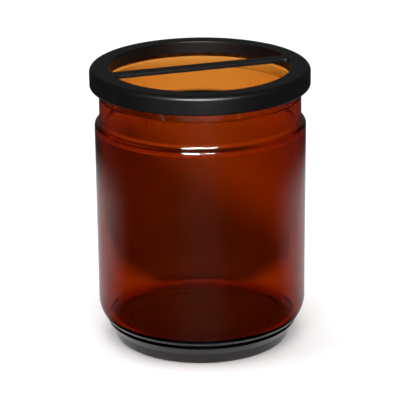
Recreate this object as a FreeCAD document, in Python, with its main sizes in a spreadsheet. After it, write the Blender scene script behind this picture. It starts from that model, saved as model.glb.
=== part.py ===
"""Amber glass jar with a divided push-in lid, as a parametric FreeCAD document.

Three pieces, one on top of the other: the glass jar, the flexible grip ring that sits on
its rim, and the lid ring whose collar the grip ring hugs. The lid has one straight divider
bar across its round window.

Millimetres. +Z is up, the origin is the centre of the jar's base, and the divider bar of
the lid lies along X.
"""
import FreeCAD, Part
import Sketcher

import math
import os

FULL_TURN = 360.0

# alias, size in mm (angles in degrees), what it is
SIZES_TABLE = [
    # glass jar, outside
    ("foot_radius", 33.4, "outside of the foot"),
    ("foot_round", 1.2, "rounding of the foot's outer edge"),
    ("waist_radius", 35.0, "top of the foot's band"),
    ("waist_height", 4.4, "height there"),
    ("fold_radius", 36.9, "top of the sloped band over it"),
    ("fold_height", 7.2, "height there"),
    ("heel_radius", 37.5, "sharp lower edge of the heel"),
    ("heel_height", 8.9, "height of that edge"),
    ("heel_round", 11.2, "arc from the edge up into the wall"),
    ("wall_radius", 40.1, "body at the top of the heel"),
    ("wall_foot", 16.0, "height where the straight wall starts"),
    ("shoulder_radius", 40.35, "body just under the shoulder"),
    ("shoulder_height", 86.4, "outer corner of the shoulder, before it is rounded"),
    ("shoulder_round", 1.2, "rounding of that corner"),
    ("neck_radius", 38.5, "outside of the neck"),
    ("neck_foot", 87.3, "inner corner of the shoulder, before it is rounded"),
    ("neck_round", 1.4, "rounding of that corner"),
    ("parting_low", 97.2, "lower edge of the groove of the neck ring's parting line"),
    ("parting_mid", 97.45, "bottom of that groove"),
    ("parting_high", 97.8, "upper edge of that groove"),
    ("parting_radius", 38.25, "bottom of that groove"),
    ("finish_radius", 38.05, "outside of the rim, under the lid"),
    ("finish_height", 100.8, "height where the rim's straight side starts"),
    ("jar_height", 105.9, "top of the rim"),
    ("rim_outer_round", 0.6, "rounding outside the rim"),
    ("rim_inner_round", 0.4, "rounding inside the rim"),
    # glass jar, inside
    ("floor_height", 8.0, "inner floor at the middle"),
    ("floor_radius", 29.5, "inner floor's nearly flat part"),
    ("floor_edge", 7.7, "inner floor at the edge of that part"),
    ("floor_round", 8.4, "arc from that edge up into the wall"),
    ("bore_radius", 37.9, "inside of the body"),
    ("bore_foot", 16.1, "height where the straight inside starts"),
    ("bore_top", 84.4, "height where the inside starts to narrow"),
    ("mouth_radius", 36.3, "inside of the neck"),
    ("mouth_foot", 87.8, "height where the neck's straight inside starts"),
    ("bore_round", 3.0, "rounding of the two corners of that step"),
    ("over_rim", 3.0, "how far the cavity's cutter reaches above the rim"),
    # glass jar, underside
    ("recess_radius", 28.5, "inner edge of the ring that the jar stands on"),
    ("recess_slope", 27.0, "radius where the recess's sloped side ends"),
    ("recess_depth", 1.1, "depth there"),
    ("recess_middle", 1.7, "depth at the middle"),
    # glass jar, mould seams on the neck
    ("seam_inside", 38.2, "inner end of a seam's section, inside the glass"),
    ("seam_outside", 38.64, "outer end of a seam's section"),
    ("seam_width", 0.6, "width of a seam"),
    ("seam_foot", 87.4, "lower end of a seam"),
    ("seam_length", 9.7, "length of a seam"),
    ("seam_angle", 40.6, "turn of the seams about Z, in degrees"),
    # grip ring
    ("sleeve_inside", 35.5, "inside of the sleeve, a running fit on the lid's collar"),
    ("sleeve_outside", 35.9, "outside of the sleeve"),
    ("sleeve_foot", 103.95, "lower end of the sleeve"),
    ("fin_radius", 36.2, "tips of the fins that grip the glass"),
    ("fin_pitch", 0.65, "height of one fin"),
    ("fin_start", 104.25, "lower end of the first fin"),
    ("flange_radius", 37.6, "outside of the flange that lies on the rim"),
    ("flange_top", 106.35, "top of the flange"),
    # lid
    ("window_radius", 34.6, "round window, and inside of the collar under it"),
    ("collar_radius", 35.4, "outside of the collar"),
    ("collar_foot", 103.35, "lower end of the collar"),
    ("bead_radius", 35.75, "bead at the collar's foot that keeps the grip ring on"),
    ("bead_top", 103.85, "top of the bead"),
    ("plate_under", 106.4, "underside of the lid's plate"),
    ("skirt_inside", 39.9, "inside of the skirt"),
    ("skirt_foot", 100.85, "lower end of the skirt"),
    ("lid_radius", 42.0, "outside of the lid"),
    ("lid_top", 108.2, "top face of the lid"),
    ("lid_edge_round", 1.75, "rounding of the lid's upper outer edge"),
    ("skirt_edge_round", 0.7, "rounding of the skirt's lower outer edge"),
    ("window_edge_round", 0.35, "rounding of the window's upper edge"),
    # divider bar of the lid
    ("bar_reach", 35.1, "half length of the bar, which ends inside the collar's wall"),
    ("bar_half_width", 2.6, "half the bar's width"),
    ("bar_depth", 1.4, "thickness of the bar"),
    ("bar_corner_round", 1.3, "rounding of the corners between bar and window"),
]
SIZES = {alias: size for alias, size, _ in SIZES_TABLE}

# the place at height zero: a sum of no sizes
GROUND = ()

FIN_COUNT = 2
SEAM_COUNT = 2


# ---------------------------------------------------------------- places as sums of sizes
def terms(place):
    """A place is one alias or a tuple of them, each with an optional minus sign."""
    return (place,) if isinstance(place, str) else place


def amount(place):
    """The number that a place stands for."""
    return sum(-SIZES[term[1:]] if term.startswith("-") else SIZES[term] for term in terms(place))


def formula(place):
    """The same sum as an expression on the sheet."""
    written = ""
    for term in terms(place):
        if term.startswith("-"):
            written += " - Sizes." + term[1:]
        else:
            written += " + Sizes." + term
    return written.removeprefix(" + ")


# ---------------------------------------------------------------- document helpers
def make_sheet(doc):
    """Puts the driving dimensions in the sheet: alias, number, meaning."""
    sheet = doc.addObject("Spreadsheet::Sheet", "Sizes")
    for row, (alias, size, meaning) in enumerate(SIZES_TABLE, start=1):
        sheet.set("A%d" % row, alias)
        sheet.set("B%d" % row, str(size))
        sheet.set("C%d" % row, meaning)
        sheet.setAlias("B%d" % row, alias)
    doc.recompute()
    return sheet


def make_body(doc, label):
    body = doc.addObject("PartDesign::Body", label)
    body.Label = label
    return body


def origin_plane(body, role):
    return [feature for feature in body.Origin.OriginFeatures if feature.Role == role][0]


def make_sketch(body, name, role):
    """A sketch on one of the body's own origin planes."""
    sketch = body.newObject("Sketcher::SketchObject", name)
    sketch.AttachmentSupport = [(origin_plane(body, role), "")]
    sketch.MapMode = "FlatFace"
    return sketch


def bind(sketch, constraint, place):
    index = sketch.addConstraint(constraint)
    sketch.setExpression("Constraints[%d]" % index, formula(place))


def arc_through_ends(start, end, radius):
    """The arc that runs anticlockwise from start to end, on the outer side of its chord."""
    chord = end - start
    half = chord.Length / 2.0
    outward = FreeCAD.Vector(chord.y, -chord.x, 0).normalize()
    centre = start + chord * 0.5 - outward * (radius**2 - half**2) ** 0.5
    first = math.atan2(start.y - centre.y, start.x - centre.x)
    last = math.atan2(end.y - centre.y, end.x - centre.x)
    return Part.ArcOfCircle(Part.Circle(centre, FreeCAD.Vector(0, 0, 1), radius), first, last)


def draw_profile(sketch, corners, arcs=None):
    """Draws a closed outline, anticlockwise. Each corner is (radius place, height place), where
    None means that the corner lies on that axis. arcs maps a corner's index to the radius
    place of the arc that leaves it; every other side is straight."""
    arcs = arcs or {}
    points = []
    for across, up in corners:
        x = 0.0 if across is None else amount(across)
        y = 0.0 if up is None else amount(up)
        points.append(FreeCAD.Vector(x, y, 0))

    for index, point in enumerate(points):
        following = points[(index + 1) % len(points)]
        if index in arcs:
            sketch.addGeometry(arc_through_ends(point, following, amount(arcs[index])), False)
        else:
            sketch.addGeometry(Part.LineSegment(point, following), False)

    for index in range(len(points)):
        following = (index + 1) % len(points)
        sketch.addConstraint(Sketcher.Constraint("Coincident", index, 2, following, 1))
    for index, (across, up) in enumerate(corners):
        if across is None:
            sketch.addConstraint(Sketcher.Constraint("PointOnObject", index, 1, -2))
        else:
            wanted = Sketcher.Constraint("DistanceX", -1, 1, index, 1, amount(across))
            bind(sketch, wanted, across)
        if up is None:
            sketch.addConstraint(Sketcher.Constraint("PointOnObject", index, 1, -1))
        else:
            wanted = Sketcher.Constraint("DistanceY", -1, 1, index, 1, amount(up))
            bind(sketch, wanted, up)
    for index, radius in arcs.items():
        bind(sketch, Sketcher.Constraint("Radius", index, amount(radius)), radius)


def turn_profile(body, kind, name, corners, arcs=None):
    """Turns a profile about Z, as a Revolution that adds or a Groove that cuts."""
    sketch = make_sketch(body, name + "_profile", "XZ_Plane")
    draw_profile(sketch, corners, arcs)
    turned = body.newObject("PartDesign::" + kind, name)
    turned.Profile = sketch
    turned.ReferenceAxis = (sketch, ["V_Axis"])
    turned.Angle = FULL_TURN
    body.Document.recompute()
    return turned


def ring_edges(shape, radius, height):
    """Names of the full-circle edges at this radius and height about Z."""
    names = []
    for number, edge in enumerate(shape.Edges, start=1):
        if not isinstance(edge.Curve, Part.Circle):
            continue
        same_radius = abs(edge.Curve.Radius - radius) < 1e-4
        same_height = abs(edge.Curve.Center.z - height) < 1e-4
        if same_radius and same_height:
            names.append("Edge%d" % number)
    return names


def round_ring(body, name, across, up, radius):
    """Rounds the circular edge at one corner of the turned profile."""
    base = body.Tip
    names = ring_edges(base.Shape, amount(across), amount(up))
    if len(names) != 1:
        raise RuntimeError("%s: %d edges found" % (name, len(names)))
    fillet = body.newObject("PartDesign::Fillet", name)
    fillet.Base = (base, names)
    fillet.setExpression("Radius", formula(radius))
    body.Document.recompute()
    return fillet


# ---------------------------------------------------------------- glass jar
def make_jar(doc):
    body = make_body(doc, "glass_jar")
    outside = [
        (None, None),
        ("foot_radius", None),
        ("waist_radius", "waist_height"),
        ("fold_radius", "fold_height"),
        ("heel_radius", "heel_height"),
        ("wall_radius", "wall_foot"),
        ("shoulder_radius", "shoulder_height"),
        ("neck_radius", "neck_foot"),
        ("neck_radius", "parting_low"),
        ("parting_radius", "parting_mid"),
        ("neck_radius", "parting_high"),
        ("finish_radius", "finish_height"),
        ("finish_radius", "jar_height"),
        (None, "jar_height"),
    ]
    heel_corner = outside.index(("heel_radius", "heel_height"))
    turn_profile(body, "Revolution", "jar_blank", outside, {heel_corner: "heel_round"})

    solid_volume = body.Tip.Shape.Volume
    cavity = [
        (None, "floor_height"),
        ("floor_radius", "floor_edge"),
        ("bore_radius", "bore_foot"),
        ("bore_radius", "bore_top"),
        ("mouth_radius", "mouth_foot"),
        ("mouth_radius", ("jar_height", "over_rim")),
        (None, ("jar_height", "over_rim")),
    ]
    floor_corner = cavity.index(("floor_radius", "floor_edge"))
    turn_profile(body, "Groove", "jar_cavity", cavity, {floor_corner: "floor_round"})
    hollow_volume = body.Tip.Shape.Volume
    if hollow_volume > 0.5 * solid_volume:
        raise RuntimeError("the cavity was not cut")

    recess = [
        (None, None),
        ("recess_radius", None),
        ("recess_slope", "recess_depth"),
        (None, "recess_middle"),
    ]
    turn_profile(body, "Groove", "base_recess", recess)
    if body.Tip.Shape.Volume > hollow_volume - 1000.0:
        raise RuntimeError("the recess under the base was not cut")

    round_ring(body, "foot_rounding", "foot_radius", GROUND, "foot_round")
    round_ring(body, "neck_rounding", "neck_radius", "neck_foot", "neck_round")
    round_ring(body, "shoulder_rounding", "shoulder_radius", "shoulder_height", "shoulder_round")
    round_ring(body, "bore_rounding", "bore_radius", "bore_top", "bore_round")
    round_ring(body, "mouth_rounding", "mouth_radius", "mouth_foot", "bore_round")
    round_ring(body, "rim_outer_rounding", "finish_radius", "jar_height", "rim_outer_round")
    round_ring(body, "rim_inner_rounding", "mouth_radius", "jar_height", "rim_inner_round")
    add_seams(body)
    return body


def add_seams(body):
    """Two thin upright ribs on opposite sides of the neck, where the mould halves met."""
    sketch = make_sketch(body, "seam_section", "XY_Plane")
    sketch.AttachmentOffset = FreeCAD.Placement(
        FreeCAD.Vector(0, 0, SIZES["seam_foot"]),
        FreeCAD.Rotation(FreeCAD.Vector(0, 0, 1), SIZES["seam_angle"]),
    )
    sketch.setExpression("AttachmentOffset.Base.z", formula("seam_foot"))
    sketch.setExpression("AttachmentOffset.Rotation.Angle", formula("seam_angle"))
    near = SIZES["seam_inside"]
    far = SIZES["seam_outside"]
    half = SIZES["seam_width"] / 2.0
    corners = [(near, -half), (far, -half), (far, half), (near, half)]
    draw_rectangle(sketch, corners)
    bind(sketch, Sketcher.Constraint("DistanceX", -1, 1, 0, 1, near), "seam_inside")
    bind(sketch, Sketcher.Constraint("DistanceX", -1, 1, 1, 1, far), "seam_outside")
    bind(sketch, Sketcher.Constraint("DistanceY", 1, 1, 1, 2, 2.0 * half), "seam_width")
    seam = body.newObject("PartDesign::Pad", "seam")
    seam.Profile = sketch
    seam.setExpression("Length", formula("seam_length"))
    body.Document.recompute()
    seams = body.newObject("PartDesign::PolarPattern", "seams")
    seams.Originals = [seam]
    seams.Axis = (sketch, ["N_Axis"])
    seams.Angle = FULL_TURN
    seams.Occurrences = SEAM_COUNT
    body.Tip = seams
    body.Document.recompute()


def draw_rectangle(sketch, corners):
    """Four lines round the corners, level or upright, and symmetric about the X axis."""
    for index, (x, y) in enumerate(corners):
        next_x, next_y = corners[(index + 1) % 4]
        line = Part.LineSegment(FreeCAD.Vector(x, y, 0), FreeCAD.Vector(next_x, next_y, 0))
        sketch.addGeometry(line, False)
    for index in range(4):
        sketch.addConstraint(Sketcher.Constraint("Coincident", index, 2, (index + 1) % 4, 1))
    sketch.addConstraint(Sketcher.Constraint("Horizontal", 0))
    sketch.addConstraint(Sketcher.Constraint("Symmetric", 1, 1, 1, 2, -1))
    sketch.addConstraint(Sketcher.Constraint("Symmetric", 3, 1, 3, 2, -1))


# ---------------------------------------------------------------- grip ring
def make_grip_ring(doc):
    """A flexible ring: a finned sleeve round the lid's collar, and a flange on the rim."""
    body = make_body(doc, "grip_ring")
    section = [
        ("sleeve_inside", "sleeve_foot"),
        ("sleeve_outside", "sleeve_foot"),
    ]
    below = ()
    for _ in range(FIN_COUNT):
        section.append(("sleeve_outside", ("fin_start",) + below))
        below += ("fin_pitch",)
        section.append(("fin_radius", ("fin_start",) + below))
        section.append(("sleeve_outside", ("fin_start",) + below))
    section += [
        ("sleeve_outside", "jar_height"),
        ("flange_radius", "jar_height"),
        ("flange_radius", "flange_top"),
        ("sleeve_inside", "flange_top"),
    ]
    distinct = [corner for index, corner in enumerate(section) if corner != section[index - 1]]
    turn_profile(body, "Revolution", "ring_section", distinct)
    return body


# ---------------------------------------------------------------- lid
def make_lid(doc):
    body = make_body(doc, "divided_lid")
    section = [
        ("window_radius", "collar_foot"),
        ("bead_radius", "collar_foot"),
        ("bead_radius", "bead_top"),
        ("collar_radius", "bead_top"),
        ("collar_radius", "plate_under"),
        ("skirt_inside", "plate_under"),
        ("skirt_inside", "skirt_foot"),
        ("lid_radius", "skirt_foot"),
        ("lid_radius", "lid_top"),
        ("window_radius", "lid_top"),
    ]
    turn_profile(body, "Revolution", "lid_ring", section)
    round_ring(body, "lid_edge_rounding", "lid_radius", "lid_top", "lid_edge_round")
    round_ring(body, "skirt_edge_rounding", "lid_radius", "skirt_foot", "skirt_edge_round")
    add_bar(body)
    round_bar_corners(body)
    round_window_edges(body)
    return body


def add_bar(body):
    """The divider bar, flush with the lid's top face and let into the collar's wall."""
    sketch = make_sketch(body, "bar_outline", "XY_Plane")
    sketch.AttachmentOffset = FreeCAD.Placement(
        FreeCAD.Vector(0, 0, SIZES["lid_top"]), FreeCAD.Rotation()
    )
    sketch.setExpression("AttachmentOffset.Base.z", formula("lid_top"))
    reach = SIZES["bar_reach"]
    half = SIZES["bar_half_width"]
    draw_rectangle(sketch, [(-reach, -half), (reach, -half), (reach, half), (-reach, half)])
    bind(sketch, Sketcher.Constraint("DistanceX", -1, 1, 1, 1, reach), "bar_reach")
    bind(sketch, Sketcher.Constraint("DistanceX", 3, 2, -1, 1, reach), "bar_reach")
    bind(sketch, Sketcher.Constraint("DistanceY", -1, 1, 1, 2, half), "bar_half_width")
    bar = body.newObject("PartDesign::Pad", "divider_bar")
    bar.Profile = sketch
    bar.Reversed = True
    bar.setExpression("Length", formula("bar_depth"))
    body.Document.recompute()


def round_bar_corners(body):
    """Rounds the four upright edges where the bar meets the window's wall."""
    base = body.Tip
    names = []
    for number, edge in enumerate(base.Shape.Edges, start=1):
        ends = [vertex.Point for vertex in edge.Vertexes]
        if len(ends) != 2:
            continue
        upright = abs(ends[0].x - ends[1].x) < 1e-4 and abs(ends[0].y - ends[1].y) < 1e-4
        on_bar = abs(abs(ends[0].y) - SIZES["bar_half_width"]) < 1e-4
        if upright and on_bar:
            names.append("Edge%d" % number)
    if len(names) != 4:
        raise RuntimeError("divider bar: %d corner edges found" % len(names))
    fillet = body.newObject("PartDesign::Fillet", "bar_corner_rounding")
    fillet.Base = (base, names)
    fillet.setExpression("Radius", formula("bar_corner_round"))
    body.Document.recompute()


def round_window_edges(body):
    """Rounds the upper edge of both openings, all the way round each."""
    base = body.Tip
    names = []
    for number, edge in enumerate(base.Shape.Edges, start=1):
        box = edge.BoundBox
        on_top = abs(box.ZMin - SIZES["lid_top"]) < 1e-4 and abs(box.ZMax - SIZES["lid_top"]) < 1e-4
        within = max(-box.XMin, box.XMax, -box.YMin, box.YMax) < SIZES["window_radius"] + 0.1
        if on_top and within:
            names.append("Edge%d" % number)
    if not names:
        raise RuntimeError("window edges: none found")
    fillet = body.newObject("PartDesign::Fillet", "window_edge_rounding")
    fillet.Base = (base, names)
    fillet.setExpression("Radius", formula("window_edge_round"))
    body.Document.recompute()


# ---------------------------------------------------------------- checks and files
def check_document(doc):
    """Every feature must have recomputed cleanly."""
    for item in doc.Objects:
        if "Invalid" in item.State or "Error" in item.State:
            raise RuntimeError("%s failed: %s" % (item.Name, item.State))


def write_step(body):
    shape = body.Shape
    if shape.isNull() or not shape.isValid() or len(shape.Solids) != 1:
        raise RuntimeError("%s is not one valid solid" % body.Label)
    shape.exportStep(os.path.join("parts", body.Label + ".step"))
    box = shape.BoundBox
    print(
        "%-12s volume %9.1f mm3  x %.2f..%.2f  y %.2f..%.2f  z %.2f..%.2f"
        % (body.Label, shape.Volume, box.XMin, box.XMax, box.YMin, box.YMax, box.ZMin, box.ZMax)
    )


def main():
    doc = FreeCAD.newDocument("DividedLidJar")
    make_sheet(doc)
    bodies = [make_jar(doc), make_grip_ring(doc), make_lid(doc)]
    doc.recompute()
    check_document(doc)
    os.makedirs("parts", exist_ok=True)
    for body in bodies:
        write_step(body)


main()
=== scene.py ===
"""Looks for the amber glass jar with a divided push-in lid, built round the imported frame.

Model frame: +Z up, origin at the centre of the base, the lid's divider bar along X. Profiles
below are in millimetres, and become metres when a mesh is made.
"""

import math

import bpy
from mathutils import Matrix, Vector
from mathutils.geometry import tessellate_polygon


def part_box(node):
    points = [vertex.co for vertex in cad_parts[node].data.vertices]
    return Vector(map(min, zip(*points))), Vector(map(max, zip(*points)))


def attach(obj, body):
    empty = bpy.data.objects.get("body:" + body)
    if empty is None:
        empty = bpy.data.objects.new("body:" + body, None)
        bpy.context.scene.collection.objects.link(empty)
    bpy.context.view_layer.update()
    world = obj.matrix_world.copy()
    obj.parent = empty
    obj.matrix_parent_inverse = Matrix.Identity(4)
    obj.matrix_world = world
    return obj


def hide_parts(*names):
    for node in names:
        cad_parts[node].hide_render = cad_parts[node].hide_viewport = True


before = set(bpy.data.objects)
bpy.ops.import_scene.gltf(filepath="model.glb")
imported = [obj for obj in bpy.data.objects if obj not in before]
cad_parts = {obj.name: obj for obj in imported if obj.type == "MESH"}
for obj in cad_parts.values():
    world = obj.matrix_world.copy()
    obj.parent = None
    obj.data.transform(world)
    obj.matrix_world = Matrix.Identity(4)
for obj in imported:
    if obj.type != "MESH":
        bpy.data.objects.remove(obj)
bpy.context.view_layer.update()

MM = 0.001

# ---------------------------------------------------------------- sizes, in millimetres
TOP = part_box("divided_lid")[1].z / MM      # the lid's top face
LID_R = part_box("divided_lid")[1].x / MM    # the lid's outside
RIM_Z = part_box("glass_jar")[1].z / MM      # the glass rim

BORE_R = 37.9
NECK_R = 38.5
SHOULDER_Z = 87.3
JAR_STEPS = 288                            # columns of the jar, before those at the seams
LONGEST_SIDE = 3.0                         # longer straight sides of an outline are divided

SEAM_ANGLES = (math.radians(40.6), math.radians(220.6))
SEAM_SPAN = (87.9, 97.0)                   # lower and upper end
SEAM_RISE = 0.09
SEAM_FLAT = 0.10                           # half width of its crest
SEAM_HALF = 0.30                           # half width at its foot
SEAM_CLEAR = 0.016                         # even columns nearer than this, in radians, go

BORE_WAVE_START = (14.0, 26.0)             # the bore's unevenness fades in over these heights
BORE_WAVE_END = (72.0, 82.0)               # and out over these

WINDOW_R = 34.6
BAR_HALF = 2.6
BAR_DEPTH = 1.4
BAR_CORNER = 1.3
WINDOW_EDGE = 0.35                         # rounding of the windows' upper edges
WINDOW_EDGE_STEPS = 6
LID_EDGE = 1.75                            # rounding of the lid's upper edge
CORNER_STEPS = 10
BAR_STEPS = 24
ARC_STEPS = 160
END_STEPS = 12

# ---------------------------------------------------------------- stage sizes, in metres
# The camera, the lights and the cards are placed by angles round the jar.
CAMERA_AZIMUTH = math.radians(-108.2)      # direction from the jar to the camera
CAMERA_DISTANCE = 0.8632
CAMERA_RISE = math.radians(19.31)
CAMERA_PIVOT = 0.0535                      # height that the camera's distance counts from
CAMERA_ROLL = math.radians(-0.53)
AIM_HEIGHT = 0.0542
AIM_SIDE = -0.0004
LENS = 201.04

FLOOR_HALF = 4.0
FLOOR_SINK = 0.0001                        # keeps the floor just below the jar's foot
RING_STEPS = 64

# the reflection card, which only reflections show; its tones are painted reflections: dark towards
# the camera, a faint painted glint band and paler sides
CARD_RING = (0.0385, 4.0, 0.0003)          # inner radius, outer radius, height
CARD_BAND = (math.radians(3.0), math.radians(32.0))     # faint painted reflection band facing the camera
CARD_PAINTED_GLINT_TONE = 0.055
CARD_SOFT = (math.radians(72.0), math.radians(116.0))   # paler painted reflection beyond these angles
CARD_SIDE_REFLECTION_TONE = 0.35
CARD_REACH = (0.18, 0.26)                  # and only within these distances
CARD_FAR_SHARE = 0.06

# back_shade, which only shows through the glass
SHADE_RING = (0.045, 0.6, 0.0002)
SHADE_SIDES = (0.20, 0.45)                 # its soft edges, in radians from its middle
SHADE_WIDENING = 2.0                       # how many radians wider a metre further out
SHADE_LEAN = math.radians(60.0)            # direction in which it fades, from its middle
SHADE_REACH = (0.072, 0.125)               # where it fades in that direction
SHADE_END = (0.25, 0.33)                   # its far end
SHADE_NEAR = 0.82                          # how dark it is before and after fading
SHADE_FAR = 0.38
SHEET_TONE = 0.8                           # the floor's own tone, where there is no shade

# name, degrees from the camera's azimuth, degrees of rise, distance, width, height, watts,
# and whether it is what the glass and the lid show as highlights or only lights the scene
LAMP_AIM = 0.05
LAMPS = (
    ("front_box", -1.5, 26.5, 1.2, 0.78, 0.147, 150.0, True),
    ("high_key", 2.0, 42.0, 1.6, 1.3, 0.7, 18.0, False),
    ("left_fill", -80.0, 22.0, 1.3, 0.9, 0.5, 9.0, False),
    ("right_fill", 80.0, 22.0, 1.3, 0.9, 0.5, 8.0, False),
    ("top_fill", -120.0, 70.0, 1.5, 0.9, 0.9, 3.0, False),
)
SKY_TURN = math.radians(170.0)
SKY_RISE = math.radians(80.0)
SKY_SPREAD = math.radians(75.0)
SKY_STRENGTH = 2.5

# the studio round the stage: limits are cosines from the direction away from the camera
BACKDROP = 0.85
FAR_WALL = (0.80, 0.95)
FAR_TONES = (0.015, 0.11)
NEAR_WALL = (-0.97, -0.85)
NEAR_TONES = (0.40, 0.0)


# ---------------------------------------------------------------- outlines
def unit(a, b):
    """Unit vector from a to b, and their distance."""
    length = math.hypot(b[0] - a[0], b[1] - a[1])
    return ((b[0] - a[0]) / length, (b[1] - a[1]) / length), length


def corner_arc(before, corner, after, radius, steps):
    """Points of the arc of this radius that rounds a corner."""
    (ux, uy), _ = unit(corner, before)
    (vx, vy), _ = unit(corner, after)
    half = math.acos(max(-1.0, min(1.0, ux * vx + uy * vy))) / 2.0
    along = radius / math.tan(half)
    (bx, by), _ = unit((0, 0), (ux + vx, uy + vy))
    centre = (
        corner[0] + bx * radius / math.sin(half),
        corner[1] + by * radius / math.sin(half),
    )
    start = (corner[0] + ux * along, corner[1] + uy * along)
    end = (corner[0] + vx * along, corner[1] + vy * along)
    first = math.atan2(start[1] - centre[1], start[0] - centre[0])
    last = math.atan2(end[1] - centre[1], end[0] - centre[0])
    turn = (last - first + math.pi) % (2.0 * math.pi) - math.pi
    points = []
    for step in range(steps + 1):
        angle = first + turn * step / steps
        points.append((centre[0] + radius * math.cos(angle), centre[1] + radius * math.sin(angle)))
    return points


def bulged(a, b, radius, steps):
    """Points of the arc from a to b, both included, that stands out to the right of the way."""
    (ux, uy), length = unit(a, b)
    sink = math.sqrt(radius**2 - (length / 2.0) ** 2)
    centre = ((a[0] + b[0]) / 2.0 - uy * sink, (a[1] + b[1]) / 2.0 + ux * sink)
    first = math.atan2(a[1] - centre[1], a[0] - centre[0])
    last = math.atan2(b[1] - centre[1], b[0] - centre[0])
    turn = (last - first + math.pi) % (2.0 * math.pi) - math.pi
    points = []
    for step in range(steps + 1):
        angle = first + turn * step / steps
        points.append((centre[0] + radius * math.cos(angle), centre[1] + radius * math.sin(angle)))
    return points


def outline(corners, closed=False):
    """A profile from corners (radius, height, rounding). Long straight sides are divided."""
    count = len(corners)
    points = []
    for index, (r, z, rounding) in enumerate(corners):
        inner = closed or 0 < index < count - 1
        if rounding and inner:
            before = corners[index - 1][:2]
            after = corners[(index + 1) % count][:2]
            steps = 8 if rounding > 0.5 else 4
            points += corner_arc(before, (r, z), after, rounding, steps)
        else:
            points.append((r, z))
    result = []
    for index, point in enumerate(points):
        result.append(point)
        if index + 1 == len(points) and not closed:
            break
        following = points[(index + 1) % len(points)]
        pieces = math.ceil(math.dist(point, following) / LONGEST_SIDE)
        for piece in range(1, pieces):
            share = piece / pieces
            result.append((
                point[0] + (following[0] - point[0]) * share,
                point[1] + (following[1] - point[1]) * share,
            ))
    return result


def smooth_step(low, high, value):
    """0 below low, 1 above high, and a soft step between them."""
    share = max(0.0, min(1.0, (value - low) / (high - low)))
    return share * share * (3.0 - 2.0 * share)


# ---------------------------------------------------------------- meshes
def make_object(name, vertices, faces, sharp_degrees=25.0):
    """A mesh object from millimetre vertices, smooth but for its sharp edges."""
    mesh = bpy.data.meshes.new(name)
    mesh.from_pydata([(x * MM, y * MM, z * MM) for x, y, z in vertices], [], faces)
    mesh.validate()
    mesh.shade_smooth()
    mesh.set_sharp_from_angle(angle=math.radians(sharp_degrees))
    piece = bpy.data.objects.new(name, mesh)
    bpy.context.scene.collection.objects.link(piece)
    weighted = piece.modifiers.new("even_shading", "WEIGHTED_NORMAL")
    weighted.mode = "FACE_AREA"
    weighted.weight = 100
    weighted.keep_sharp = True
    return piece


def turned_faces(rows, columns, closed_rows, start):
    """Quads between rows of vertices that go round, each row `columns` long."""
    faces = []
    for row in range(rows if closed_rows else rows - 1):
        upper = (row + 1) % rows
        for column in range(columns):
            beside = (column + 1) % columns
            faces.append((
                start + row * columns + column,
                start + row * columns + beside,
                start + upper * columns + beside,
                start + upper * columns + column,
            ))
    return faces


def ring_angles(count):
    """Even steps round the circle."""
    return [2.0 * math.pi * step / count for step in range(count)]


# ---------------------------------------------------------------- glass jar
def jar_angles():
    """Even steps, with fine ones across the two mould seams."""
    fine = [math.radians(step * 0.09) for step in range(-9, 10)]
    angles = [
        angle
        for angle in ring_angles(JAR_STEPS)
        if all(
            abs(math.remainder(angle - seam, 2.0 * math.pi)) > SEAM_CLEAR
            for seam in SEAM_ANGLES
        )
    ]
    for seam in SEAM_ANGLES:
        angles += [seam + offset for offset in fine]
    return sorted(angles)


def jar_outside():
    """From the axis under the base, over the outside, to the rim's outer edge."""
    heel = bulged((37.5, 8.9), (40.1, 16.0), 11.2, 16)
    lower = outline([
        (0.0, 1.7, 0.0),
        (27.0, 1.1, 0.8),
        (28.5, 0.0, 0.5),
        (33.4, 0.0, 1.2),
        (35.0, 4.4, 0.3),
        (36.9, 7.2, 0.4),
        (37.5, 8.9, 0.0),
    ])
    upper = outline([
        (40.1, 16.0, 0.0),
        (40.35, 86.4, 1.2),
        (NECK_R, SHOULDER_Z, 1.4),
        (NECK_R, 97.2, 0.1),
        (38.25, 97.45, 0.1),
        (NECK_R, 97.8, 0.1),
        (38.05, 100.8, 1.0),
        (38.05, 105.9, 0.6),
        (37.1, 105.9, 0.0),
    ])
    return lower + heel[1:-1] + upper


def jar_inside():
    """From the rim down the bore to the axis on the inner floor."""
    return outline([
        (37.0, 105.9, 0.0),
        (36.3, 105.9, 0.4),
        (36.3, 87.8, 3.0),
        (BORE_R, 84.4, 3.0),
        (BORE_R, 7.6, 8.4),
        (0.0, 8.0, 0.0),
    ])


def seam_rise(angle, z):
    """How far a mould seam stands out of the neck here."""
    rise = 0.0
    for seam in SEAM_ANGLES:
        across = abs(math.remainder(angle - seam, 2.0 * math.pi)) * NECK_R
        rise += 1.0 - smooth_step(SEAM_FLAT, SEAM_HALF, across)
    ends = smooth_step(SEAM_SPAN[0] - 0.3, SEAM_SPAN[0] + 0.3, z)
    ends *= 1.0 - smooth_step(SEAM_SPAN[1] - 0.3, SEAM_SPAN[1] + 0.2, z)
    return SEAM_RISE * rise * ends


def bore_wave(angle, z):
    """The slight unevenness of a pressed bore, where the plunger drew the glass."""
    level = smooth_step(*BORE_WAVE_START, z) * (1.0 - smooth_step(*BORE_WAVE_END, z))
    wave = 0.030 * math.sin(5.0 * angle + 0.7 + z * 0.011)
    wave += 0.016 * math.sin(11.0 * angle + 2.1 - z * 0.017)
    wave += 0.020 * math.sin(3.0 * angle - 0.4) * math.cos(z * 0.09 + 0.5)
    return wave * level


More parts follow.
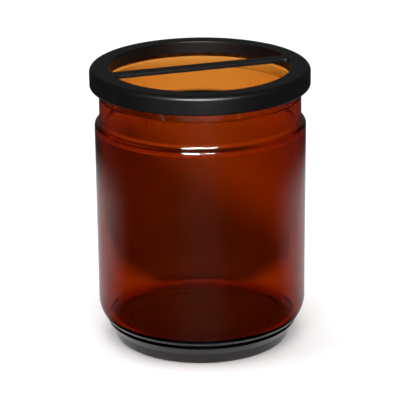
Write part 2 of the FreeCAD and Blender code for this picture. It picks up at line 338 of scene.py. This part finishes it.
def make_jar():
    """The jar as one closed turned mesh, from under the base round to the inner floor."""
    outside = jar_outside()
    inside = jar_inside()
    angles = jar_angles()
    columns = len(angles)
    vertices = [(0.0, 0.0, outside[0][1])]
    for r, z in outside[1:]:
        for angle in angles:
            across = r
            if NECK_R - 0.3 < r < NECK_R + 1.0 and z > SHOULDER_Z - 1.3:
                across += seam_rise(angle, z)
            vertices.append((across * math.cos(angle), across * math.sin(angle), z))
    for r, z in inside[:-1]:
        for angle in angles:
            across = r
            if BORE_R - 0.05 < r < BORE_R + 0.05:
                across += bore_wave(angle, z)
            vertices.append((across * math.cos(angle), across * math.sin(angle), z))
    vertices.append((0.0, 0.0, inside[-1][1]))
    rows = len(outside) - 1 + len(inside) - 1
    faces = turned_faces(rows, columns, False, 1)
    last = len(vertices) - 1
    for column in range(columns):
        beside = (column + 1) % columns
        faces.append((0, 1 + beside, 1 + column))
        faces.append((last, last - columns + column, last - columns + beside))
    return make_object("jar_glass", vertices, faces, 18.0)


# ---------------------------------------------------------------- grip ring
def make_grip():
    """The ring with two fins on the collar, and a flange on the glass rim."""
    corners = [(35.5, 103.95, 0.08), (35.9, 103.95, 0.08)]
    for fin in range(2):
        foot = 104.25 + fin * 0.65
        corners += [(35.9, foot, 0.0), (36.2, foot + 0.65, 0.05), (35.9, foot + 0.65, 0.0)]
    corners += [
        (35.9, RIM_Z, 0.0),
        (37.6, RIM_Z, 0.08),
        (37.6, 106.35, 0.08),
        (35.5, 106.35, 0.08),
    ]
    distinct = [c for index, c in enumerate(corners) if c[:2] != corners[index - 1][:2]]
    profile = outline(distinct, closed=True)
    angles = ring_angles(192)
    vertices = [(r * math.cos(a), r * math.sin(a), z) for r, z in profile for a in angles]
    faces = turned_faces(len(profile), len(angles), True, 0)
    return make_object("rim_grip", vertices, faces)


# ---------------------------------------------------------------- lid
def half_window(turn):
    """One window's outline seen from above, anticlockwise from where its arc starts: points
    with the direction into the plastic. The arc's points come first."""
    across = math.sqrt((WINDOW_R - BAR_CORNER) ** 2 - (BAR_HALF + BAR_CORNER) ** 2)
    tilt = math.atan2(BAR_HALF + BAR_CORNER, across)
    loop = []
    for step in range(ARC_STEPS + 1):
        angle = tilt + (math.pi - 2.0 * tilt) * step / ARC_STEPS
        loop.append((WINDOW_R * math.cos(angle), WINDOW_R * math.sin(angle),
                     math.cos(angle), math.sin(angle)))
    corners = (
        (-1.0, math.pi - tilt, 1.5 * math.pi, range(1, CORNER_STEPS + 1)),
        (1.0, 1.5 * math.pi, 2.0 * math.pi + tilt, range(CORNER_STEPS)),
    )
    for side, first, last, steps in corners:
        for step in steps:
            angle = first + (last - first) * step / CORNER_STEPS
            loop.append((side * across + BAR_CORNER * math.cos(angle),
                         BAR_HALF + BAR_CORNER + BAR_CORNER * math.sin(angle),
                         math.cos(angle), math.sin(angle)))
        if side < 0:
            for step in range(1, BAR_STEPS):
                loop.append((-across + 2.0 * across * step / BAR_STEPS, BAR_HALF, 0.0, -1.0))
    c, s = math.cos(turn), math.sin(turn)
    return [(x * c - y * s, x * s + y * c, nx * c - ny * s, nx * s + ny * c)
            for x, y, nx, ny in loop], tilt


def make_lid():
    """The lid ring, turned, with its two windows and the bar between them cut into the top."""
    under_bar = TOP - BAR_DEPTH
    profile = outline([
        (WINDOW_R, under_bar, 0.0),
        (WINDOW_R, 103.35, 0.25),
        (35.75, 103.35, 0.2),
        (35.75, 103.85, 0.15),
        (35.4, 103.85, 0.0),
        (35.4, 106.4, 0.0),
        (39.9, 106.4, 0.4),
        (39.9, 100.85, 0.25),
        (LID_R, 100.85, 0.7),
        (LID_R, TOP, LID_EDGE),
        (WINDOW_R + 4.0, TOP, 0.0),
    ])
    flat_start = LID_R - LID_EDGE - 0.01       # the flat top is filled further down
    profile = [(r, z) for r, z in profile if z != TOP or r >= flat_start]
    upper, tilt = half_window(0.0)
    lower, _ = half_window(math.pi)
    angles = []
    for half in range(2):
        start = half * math.pi
        angles += [
            start + tilt + (math.pi - 2.0 * tilt) * step / ARC_STEPS
            for step in range(ARC_STEPS + 1)
        ]
        angles += [
            start + math.pi - tilt + 2.0 * tilt * step / END_STEPS
            for step in range(1, END_STEPS)
        ]
    columns = len(angles)
    vertices = [(r * math.cos(a), r * math.sin(a), z) for r, z in profile for a in angles]
    faces = turned_faces(len(profile), columns, False, 0)

    # the walls of the two windows, from the level of the bar's underside up to the top face
    rises = [(0.0, TOP - WINDOW_EDGE)]
    for step in range(1, WINDOW_EDGE_STEPS + 1):
        angle = math.radians(90.0 / WINDOW_EDGE_STEPS * step)
        rises.append((
            WINDOW_EDGE * (1.0 - math.cos(angle)),
            TOP - WINDOW_EDGE * (1.0 - math.sin(angle)),
        ))
    top_loops = []
    bar_sides = []
    for half, loop in enumerate((upper, lower)):
        ring_start = half * (columns // 2)
        bottom = [ring_start + step for step in range(ARC_STEPS + 1)]
        extra = len(vertices)
        for x, y, _, _ in loop[ARC_STEPS + 1:]:
            vertices.append((x, y, under_bar))
        bottom += list(range(extra, len(vertices)))
        bar_sides.append(bottom[ARC_STEPS:] + [bottom[0]])
        previous = bottom
        for offset, z in rises:
            current = []
            for x, y, nx, ny in loop:
                current.append(len(vertices))
                vertices.append((x + nx * offset, y + ny * offset, z))
            for index in range(len(loop)):
                after = (index + 1) % len(loop)
                faces.append((previous[index], current[index], current[after], previous[after]))
            previous = current
        top_loops.append(previous)

    # flat faces: the top round the windows, and the bar's underside
    outer = [(len(profile) - 1) * columns + column for column in range(columns)]
    faces += flat_faces(vertices, [outer] + top_loops, 1.0)
    right_end = [columns - END_STEPS + step for step in range(1, END_STEPS)]
    left_end = [columns // 2 - END_STEPS + step for step in range(1, END_STEPS)]
    loop = bar_sides[0][::-1] + left_end + bar_sides[1][::-1] + right_end
    faces += flat_faces(vertices, [loop], -1.0)
    return make_object("lid_shell", vertices, faces)


def flat_faces(vertices, loops, up):
    """Triangles that fill the first loop and leave the others open, facing up or down."""
    order = [index for loop in loops for index in loop]
    outlines = [[Vector(vertices[index]) for index in loop] for loop in loops]
    faces = []
    for a, b, c in tessellate_polygon(outlines):
        a, b, c = order[a], order[b], order[c]
        pa, pb, pc = (vertices[index] for index in (a, b, c))
        area = (pb[0] - pa[0]) * (pc[1] - pa[1]) - (pb[1] - pa[1]) * (pc[0] - pa[0])
        faces.append((a, b, c) if area * up > 0 else (a, c, b))
    return faces


def direction(azimuth, rise):
    """Unit vector from the jar's axis towards this azimuth and rise."""
    return Vector((
        math.cos(azimuth) * math.cos(rise),
        math.sin(azimuth) * math.cos(rise),
        math.sin(rise),
    ))


# ---------------------------------------------------------------- materials
def new_material(name):
    """A material with its node tree and its shader."""
    material = bpy.data.materials.new(name)
    material.use_nodes = True
    tree = material.node_tree
    shader = tree.nodes["Principled BSDF"]
    return material, tree, shader


def object_noise(tree, scale, detail=3.0, stretch=(1.0, 1.0, 1.0)):
    """Noise fixed to the piece."""
    place = tree.nodes.new("ShaderNodeTexCoord")
    mapping = tree.nodes.new("ShaderNodeMapping")
    mapping.inputs["Scale"].default_value = stretch
    noise = tree.nodes.new("ShaderNodeTexNoise")
    noise.inputs["Scale"].default_value = scale
    noise.inputs["Detail"].default_value = detail
    tree.links.new(place.outputs["Object"], mapping.inputs["Vector"])
    tree.links.new(mapping.outputs["Vector"], noise.inputs["Vector"])
    return noise


def spread(tree, source, low, high):
    """Maps a noise to a range."""
    node = tree.nodes.new("ShaderNodeMapRange")
    node.inputs["From Min"].default_value = 0.3
    node.inputs["From Max"].default_value = 0.7
    node.inputs["To Min"].default_value = low
    node.inputs["To Max"].default_value = high
    tree.links.new(source, node.inputs["Value"])
    return node.outputs["Result"]


def bump(tree, source, strength, depth):
    """A normal raised by the source."""
    node = tree.nodes.new("ShaderNodeBump")
    node.inputs["Strength"].default_value = strength
    node.inputs["Distance"].default_value = depth
    tree.links.new(source, node.inputs["Height"])
    return node.outputs["Normal"]


def amber_glass():
    """Clear glass with a faint ripple, coloured by its thickness."""
    material, tree, shader = new_material("amber_glass")
    shader.inputs["Base Color"].default_value = (1.0, 1.0, 1.0, 1.0)
    shader.inputs["Roughness"].default_value = 0.0
    shader.inputs["IOR"].default_value = 1.5
    shader.inputs["Transmission Weight"].default_value = 1.0
    ripple = object_noise(tree, 38.0, 2.0, (1.0, 1.0, 0.35))
    tree.links.new(bump(tree, ripple.outputs["Fac"], 0.03, 0.0006), shader.inputs["Normal"])
    volume = tree.nodes.new("ShaderNodeVolumeAbsorption")
    volume.inputs["Color"].default_value = (0.838, 0.56, 0.028, 1.0)
    volume.inputs["Density"].default_value = 1800.0
    output = tree.nodes["Material Output"]
    tree.links.new(volume.outputs["Volume"], output.inputs["Volume"])
    return material


def moulded(name, dark, light, rough_low, rough_high, grain):
    """Satin moulded plastic or rubber: uneven gloss and a fine grain."""
    material, tree, shader = new_material(name)
    cloud = object_noise(tree, 55.0, 4.0)
    fine = object_noise(tree, 2600.0, 2.0)
    mix = tree.nodes.new("ShaderNodeMix")
    mix.data_type = "RGBA"
    mix.inputs["A"].default_value = dark
    mix.inputs["B"].default_value = light
    tree.links.new(cloud.outputs["Fac"], mix.inputs["Factor"])
    tree.links.new(mix.outputs["Result"], shader.inputs["Base Color"])
    gloss = spread(tree, cloud.outputs["Fac"], rough_low, rough_high)
    tree.links.new(gloss, shader.inputs["Roughness"])
    tree.links.new(bump(tree, fine.outputs["Fac"], grain, 0.00006), shader.inputs["Normal"])
    shader.inputs["Specular IOR Level"].default_value = 0.10
    return material


def floor_material():
    """A pale matte floor, very slightly uneven in tone."""
    material, tree, shader = new_material("pale_floor")
    cloud = object_noise(tree, 3.0, 2.0)
    mix = tree.nodes.new("ShaderNodeMix")
    mix.data_type = "RGBA"
    mix.inputs["A"].default_value = (0.80, 0.80, 0.80, 1.0)
    mix.inputs["B"].default_value = (0.82, 0.82, 0.82, 1.0)
    tree.links.new(cloud.outputs["Fac"], mix.inputs["Factor"])
    tree.links.new(mix.outputs["Result"], shader.inputs["Base Color"])
    shader.inputs["Roughness"].default_value = 0.9
    shader.inputs["Specular IOR Level"].default_value = 0.1
    return material


def ramp(tree, source, limits, low, high):
    """A soft step from low to high as the source passes between the limits."""
    node = tree.nodes.new("ShaderNodeMapRange")
    node.interpolation_type = "SMOOTHSTEP"
    node.inputs["From Min"].default_value = limits[0]
    node.inputs["From Max"].default_value = limits[1]
    node.inputs["To Min"].default_value = low
    node.inputs["To Max"].default_value = high
    tree.links.new(source, node.inputs["Value"])
    return node.outputs["Result"]


def maths(tree, operation, first, second=None):
    """One Math node; its inputs are sockets."""
    node = tree.nodes.new("ShaderNodeMath")
    node.operation = operation
    tree.links.new(first, node.inputs[0])
    if second is not None:
        tree.links.new(second, node.inputs[1])
    return node.outputs["Value"]


def along_direction(tree, azimuth):
    """How far a point of the stage lies from the axis towards this azimuth."""
    place = tree.nodes.new("ShaderNodeTexCoord")
    along = tree.nodes.new("ShaderNodeVectorMath")
    along.operation = "DOT_PRODUCT"
    along.inputs[1].default_value = direction(azimuth, 0.0)
    tree.links.new(place.outputs["Object"], along.inputs[0])
    return along.outputs["Value"]


def around_jar(tree, azimuth):
    """The angle round the jar from this azimuth, unsigned, and the distance from the axis."""
    place = tree.nodes.new("ShaderNodeTexCoord")
    turned = tree.nodes.new("ShaderNodeVectorRotate")
    turned.rotation_type = "Z_AXIS"
    turned.inputs["Angle"].default_value = -azimuth
    parts = tree.nodes.new("ShaderNodeSeparateXYZ")
    length = tree.nodes.new("ShaderNodeVectorMath")
    length.operation = "LENGTH"
    tree.links.new(place.outputs["Object"], turned.inputs["Vector"])
    tree.links.new(turned.outputs["Vector"], parts.inputs["Vector"])
    tree.links.new(turned.outputs["Vector"], length.inputs[0])
    angle = maths(tree, "ARCTAN2", parts.outputs["Y"], parts.outputs["X"])
    return maths(tree, "ABSOLUTE", angle), length.outputs["Value"]


def matte(name):
    """A material with no gloss, for the stage's cards."""
    material, tree, shader = new_material(name)
    shader.inputs["Roughness"].default_value = 1.0
    shader.inputs["Specular IOR Level"].default_value = 0.0
    return material, tree, shader


def painted_reflection_material():
    """Painted reflections: dark on the camera's side of the studio, with a faint painted glint
    band in its middle, and paler to the sides and behind."""
    material, tree, shader = matte("painted_reflection_card")
    angle, distance = around_jar(tree, CAMERA_AZIMUTH)
    # painted glint: a faint band of reflected light facing the camera, painted into the card's
    # tone
    painted_glint = ramp(tree, angle, CARD_BAND, CARD_PAINTED_GLINT_TONE, 0.0)
    sides = maths(
        tree,
        "MULTIPLY",
        ramp(tree, angle, CARD_SOFT, 0.0, CARD_SIDE_REFLECTION_TONE),
        ramp(tree, distance, CARD_REACH, 1.0, CARD_FAR_SHARE),
    )
    tree.links.new(maths(tree, "ADD", painted_glint, sides), shader.inputs["Base Color"])
    return material


def shade_material():
    """The jar's own shade on the floor behind it, as the glass shows it."""
    material, tree, shader = matte("back_shade")
    angle, distance = around_jar(tree, CAMERA_AZIMUTH + math.pi)
    wider = maths(tree, "MULTIPLY", distance)
    wider.node.inputs[1].default_value = SHADE_WIDENING
    sides = ramp(tree, maths(tree, "SUBTRACT", angle, wider), SHADE_SIDES, 1.0, 0.0)
    across = maths(tree, "MULTIPLY", sides, ramp(tree, distance, SHADE_END, 1.0, 0.0))
    leaning = along_direction(tree, CAMERA_AZIMUTH + math.pi - SHADE_LEAN)
    along = ramp(tree, leaning, SHADE_REACH, SHADE_NEAR, SHADE_FAR)
    pale = tree.nodes.new("ShaderNodeMapRange")
    pale.inputs["To Min"].default_value = SHEET_TONE
    pale.inputs["To Max"].default_value = 0.0
    tree.links.new(maths(tree, "MULTIPLY", across, along), pale.inputs["Value"])
    tree.links.new(pale.outputs["Result"], shader.inputs["Base Color"])
    return material


# ---------------------------------------------------------------- pieces on the frame
jar = make_jar()
jar.data.materials.append(amber_glass())
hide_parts("glass_jar")
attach(jar, "jar")

grip = make_grip()
grip.data.materials.append(moulded(
    "grip_rubber", (0.004, 0.004, 0.004, 1), (0.007, 0.007, 0.007, 1), 0.55, 0.75, 0.3
))
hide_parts("grip_ring")
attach(grip, "grip")

lid = make_lid()
lid.data.materials.append(moulded(
    "black_plastic", (0.0022, 0.0021, 0.0020, 1), (0.0036, 0.0033, 0.0031, 1), 0.33, 0.40, 0.30
))
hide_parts("divided_lid")
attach(lid, "lid")


# ---------------------------------------------------------------- stage
def stage_sheet(name, points, faces, material):
    """A flat piece of the stage, which isn't part of the object."""
    mesh = bpy.data.meshes.new(name)
    mesh.from_pydata(points, [], faces)
    mesh.materials.append(material)
    sheet = bpy.data.objects.new(name, mesh)
    bpy.context.scene.collection.objects.link(sheet)
    return sheet


def ring_sheet(name, inner, outer, height, material):
    """A flat ring round the jar."""
    count = RING_STEPS
    points = [
        (r * math.cos(a), r * math.sin(a), height)
        for r in (inner, outer)
        for a in ring_angles(count)
    ]
    quads = [(i, (i + 1) % count, count + (i + 1) % count, count + i) for i in range(count)]
    return stage_sheet(name, points, quads, material)


def only_for(sheet, glossy, transmission):
    """Leaves a card visible in reflections or through the glass, and nowhere else."""
    sheet.visible_camera = False
    sheet.visible_diffuse = False
    sheet.visible_shadow = False
    sheet.visible_volume_scatter = False
    sheet.visible_glossy = glossy
    sheet.visible_transmission = transmission


floor_corners = [
    (x * FLOOR_HALF, y * FLOOR_HALF, -FLOOR_SINK) for x, y in ((-1, -1), (1, -1), (1, 1), (-1, 1))
]
stage_sheet("floor", floor_corners, [(0, 1, 2, 3)], floor_material())
# painted reflections: a sheet seen only in reflections, whose tones stand in for what the glass
# and the lid mirror
only_for(ring_sheet("painted_reflection_card", *CARD_RING, painted_reflection_material()), True, False)
only_for(ring_sheet("back_shade", *SHADE_RING, shade_material()), False, True)


def area_light(name, azimuth, rise, distance, width, height, power, mirrored):
    """A soft box. A mirrored one shows only in reflections, and the others only light the
    scene."""
    light = bpy.data.lights.new(name, "AREA")
    light.shape = "RECTANGLE"
    light.size = width
    light.size_y = height
    light.energy = power
    lamp = bpy.data.objects.new(name, light)
    bpy.context.scene.collection.objects.link(lamp)
    target = Vector((0.0, 0.0, LAMP_AIM))
    lamp.location = target + direction(azimuth, rise) * distance
    lamp.rotation_euler = (target - lamp.location).to_track_quat("-Z", "Y").to_euler()
    lamp.visible_glossy = mirrored
    lamp.visible_transmission = False
    lamp.visible_diffuse = not mirrored


for name, turn, rise, *rest in LAMPS:
    area_light(name, CAMERA_AZIMUTH + math.radians(turn), math.radians(rise), *rest)


def sky_light(azimuth, rise, spread, strength):
    """A broad even light from this direction, which the glass and the lid don't mirror."""
    light = bpy.data.lights.new("sky", "SUN")
    light.energy = strength
    light.angle = spread
    lamp = bpy.data.objects.new("sky", light)
    bpy.context.scene.collection.objects.link(lamp)
    lamp.rotation_euler = (-direction(azimuth, rise)).to_track_quat("-Z", "Y").to_euler()
    lamp.visible_glossy = False
    lamp.visible_transmission = False


sky_light(CAMERA_AZIMUTH - SKY_TURN, SKY_RISE, SKY_SPREAD, SKY_STRENGTH)


def studio_walls(tree):
    """A pale backdrop for the camera and through the glass. Every other ray sees a dark studio
    instead, with a pale band low on the far side and one behind the camera."""
    place = tree.nodes.new("ShaderNodeTexCoord")
    along = tree.nodes.new("ShaderNodeVectorMath")
    along.operation = "DOT_PRODUCT"
    along.inputs[1].default_value = direction(CAMERA_AZIMUTH + math.pi, 0.0)
    tree.links.new(place.outputs["Generated"], along.inputs[0])
    far = ramp(tree, along.outputs["Value"], FAR_WALL, *FAR_TONES)
    near = ramp(tree, along.outputs["Value"], NEAR_WALL, *NEAR_TONES)
    background = tree.nodes["Background"]
    background.inputs["Color"].default_value = (1.0, 1.0, 1.0, 1.0)
    path = tree.nodes.new("ShaderNodeLightPath")
    camera_ray = path.outputs["Is Camera Ray"]
    seen = maths(tree, "MAXIMUM", camera_ray, path.outputs["Is Transmission Ray"])
    strength = tree.nodes.new("ShaderNodeMapRange")
    strength.inputs["To Max"].default_value = BACKDROP
    tree.links.new(seen, strength.inputs["Value"])
    tree.links.new(maths(tree, "ADD", far, near), strength.inputs["To Min"])
    tree.links.new(strength.outputs["Result"], background.inputs["Strength"])


world = bpy.data.worlds.new("studio")
bpy.context.scene.world = world
world.use_nodes = True
studio_walls(world.node_tree)

camera_data = bpy.data.cameras.new("photo_camera")
camera_data.lens = LENS
camera_data.sensor_width = 36.0
camera_data.clip_start = 0.01
camera_data.clip_end = 20.0
camera = bpy.data.objects.new("photo_camera", camera_data)
bpy.context.scene.collection.objects.link(camera)
pivot = Vector((0.0, 0.0, CAMERA_PIVOT))
camera.location = pivot + direction(CAMERA_AZIMUTH, CAMERA_RISE) * CAMERA_DISTANCE
side = Vector((-math.sin(CAMERA_AZIMUTH), math.cos(CAMERA_AZIMUTH), 0.0))
aim = Vector((0.0, 0.0, AIM_HEIGHT)) + side * AIM_SIDE
looking = (aim - camera.location).to_track_quat("-Z", "Y").to_matrix()
camera.rotation_euler = (looking @ Matrix.Rotation(CAMERA_ROLL, 3, "Z")).to_euler()
bpy.context.scene.camera = camera

scene = bpy.context.scene
scene.view_settings.view_transform = "Standard"
scene.cycles.max_bounces = 24
scene.cycles.transmission_bounces = 24
scene.cycles.glossy_bounces = 12
scene.cycles.use_denoising = True
scene.cycles.caustics_reflective = False
